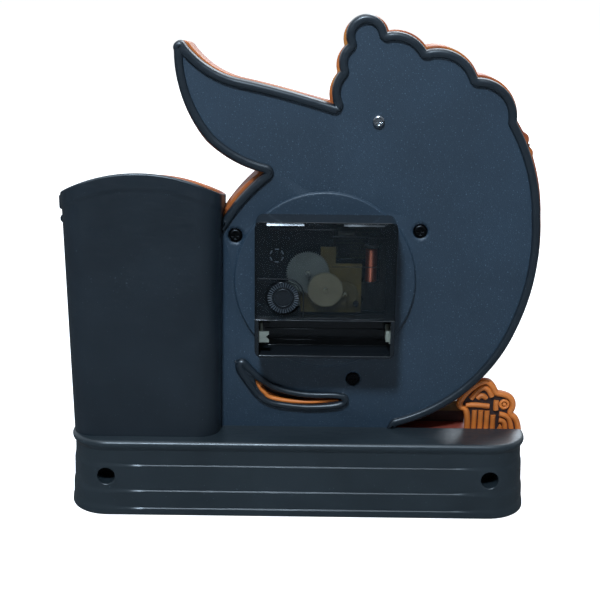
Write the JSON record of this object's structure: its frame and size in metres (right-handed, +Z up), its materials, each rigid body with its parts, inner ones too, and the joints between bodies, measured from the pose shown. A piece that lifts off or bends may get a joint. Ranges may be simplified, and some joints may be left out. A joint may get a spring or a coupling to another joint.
{
  "type": "desk clock",
  "caption": "Free-standing desk clock with a leaf-shaped body, quartz movement in the back, pen cup at one side and a ribbed hollow base.",
  "frame": {"origin": "middle of the flat underside of the base", "axes": "+Z up, the dial faces -Y, the movement and battery bay face +Y, the pen cup stands at +X"},
  "size_m": [0.1944, 0.06, 0.2039],
  "materials": {
    "navy_abs": "fine spark texture, satin",
    "copper_paint": "sprayed copper, satin gloss",
    "black_abs": "polished black",
    "smoked_styrene": "clear smoked, polished",
    "clear_acrylic": "clear, polished",
    "dial_card": "printed matt card",
    "hand_aluminium": "black lacquer",
    "second_hand_lacquer": "red lacquer",
    "brass_nut": "turned",
    "rubber_washer": "moulded",
    "white_acetal": "moulded, translucent",
    "grey_acetal": "moulded, translucent",
    "amber_styrene": "moulded, translucent",
    "bonded_ferrite": "moulded",
    "soft_iron": "stamped",
    "copper_wire": "enamelled wire",
    "bobbin_nylon": "moulded",
    "board_laminate": "etched laminate",
    "chip_resin": "poured resin",
    "nickel": "nickel plated spring steel",
    "black_screw": "black oxide",
    "bright_screw": "zinc plated",
    "brown_inlay": "painted",
    "terracotta_paint": "painted",
    "olive_gold_paint": "sprayed olive gold"
  },
  "bodies": {
    "clock": {"back_shell": "navy_abs", "base_front_shell": "copper_paint", "base_rear_shell": "navy_abs", "base_screws": "black_screw", "battery_contact_negative": "nickel", "battery_contact_positive": "nickel", "circuit_board": "board_laminate", "coil_bobbin": "bobbin_nylon", "coil_core": "soft_iron", "coil_winding": "copper_wire", "control_chip": "chip_resin", "cup_clip": "navy_abs", "cup_front_shell": "copper_paint", "cup_rear_shell": "navy_abs", "dial_bezel": "copper_paint", "dial_lens": "clear_acrylic", "dial_plate": "dial_card", "display_step": "terracotta_paint", "front_shell": "copper_paint", "movement_case": "black_abs", "movement_cover": "smoked_styrene", "movement_nut": "brass_nut", "movement_washer": "rubber_washer", "panel_screws": "black_screw", "quartz_crystal": "nickel", "scroll_ornament": "copper_paint", "slot_inlay": "brown_inlay", "slot_trim": "copper_paint", "stator": "soft_iron", "steel_screw": "bright_screw", "step_moulding": "olive_gold_paint", "train_bridge": "amber_styrene"},
    "seconds": {"second_wheel": "white_acetal", "second_hand": "second_hand_lacquer"},
    "minutes": {"minute_pipe": "brass_nut", "minute_hand": "hand_aluminium"},
    "hours": {"hour_wheel": "white_acetal", "hour_hand": "hand_aluminium"},
    "minute_rim": {"minute_wheel": "white_acetal"},
    "third": {"third_wheel": "grey_acetal"},
    "intermediate": {"intermediate_wheel": "grey_acetal"},
    "motor_rotor": {"rotor": "bonded_ferrite"},
    "motion_work": {"works_wheel": "grey_acetal"},
    "knob": {"setting_knob": "black_abs"}
  },
  "joints": [
    {"name": "second_spin", "type": "hinge", "parent": "clock", "child": "seconds", "pos_m": [-0.01, 0.018, 0.097], "axis": [0, 1, 0], "continuous": true},
    {"name": "rotor_spin", "type": "hinge", "parent": "clock", "child": "motor_rotor", "pos_m": [-0.02231, 0.018, 0.0909], "axis": [0, 1, 0], "continuous": true},
    {"name": "intermediate_spin", "type": "hinge", "parent": "clock", "child": "intermediate", "pos_m": [-0.01792, 0.018, 0.095], "axis": [0, 1, 0], "continuous": true},
    {"name": "third_spin", "type": "hinge", "parent": "clock", "child": "third", "pos_m": [-0.00307, 0.018, 0.10357], "axis": [0, 1, 0], "continuous": true},
    {"name": "minute_rim_spin", "type": "hinge", "parent": "clock", "child": "minute_rim", "pos_m": [-0.01, 0.018, 0.097], "axis": [0, 1, 0], "continuous": true},
    {"name": "minute_spin", "type": "hinge", "parent": "clock", "child": "minutes", "pos_m": [-0.01, 0.018, 0.097], "axis": [0, 1, 0], "continuous": true},
    {"name": "hour_spin", "type": "hinge", "parent": "clock", "child": "hours", "pos_m": [-0.01, 0.018, 0.097], "axis": [0, 1, 0], "continuous": true},
    {"name": "works_spin", "type": "hinge", "parent": "clock", "child": "motion_work", "pos_m": [-0.00196, 0.018, 0.09396], "axis": [0, 1, 0], "continuous": true},
    {"name": "knob_spin", "type": "hinge", "parent": "clock", "child": "knob", "pos_m": [0.00662, 0.018, 0.09458], "axis": [0, 1, 0], "continuous": true}
  ],
  "couplings": [
    {"joint": "intermediate_spin", "follows": "second_spin", "ratio": -6},
    {"joint": "rotor_spin", "follows": "second_spin", "ratio": 30},
    {"joint": "third_spin", "follows": "second_spin", "ratio": -0.13333},
    {"joint": "minute_rim_spin", "follows": "second_spin", "ratio": 0.016667},
    {"joint": "works_spin", "follows": "minute_spin", "ratio": -0.33333},
    {"joint": "hour_spin", "follows": "minute_spin", "ratio": 0.083333},
    {"joint": "knob_spin", "follows": "minute_spin", "ratio": 1}
  ]
}
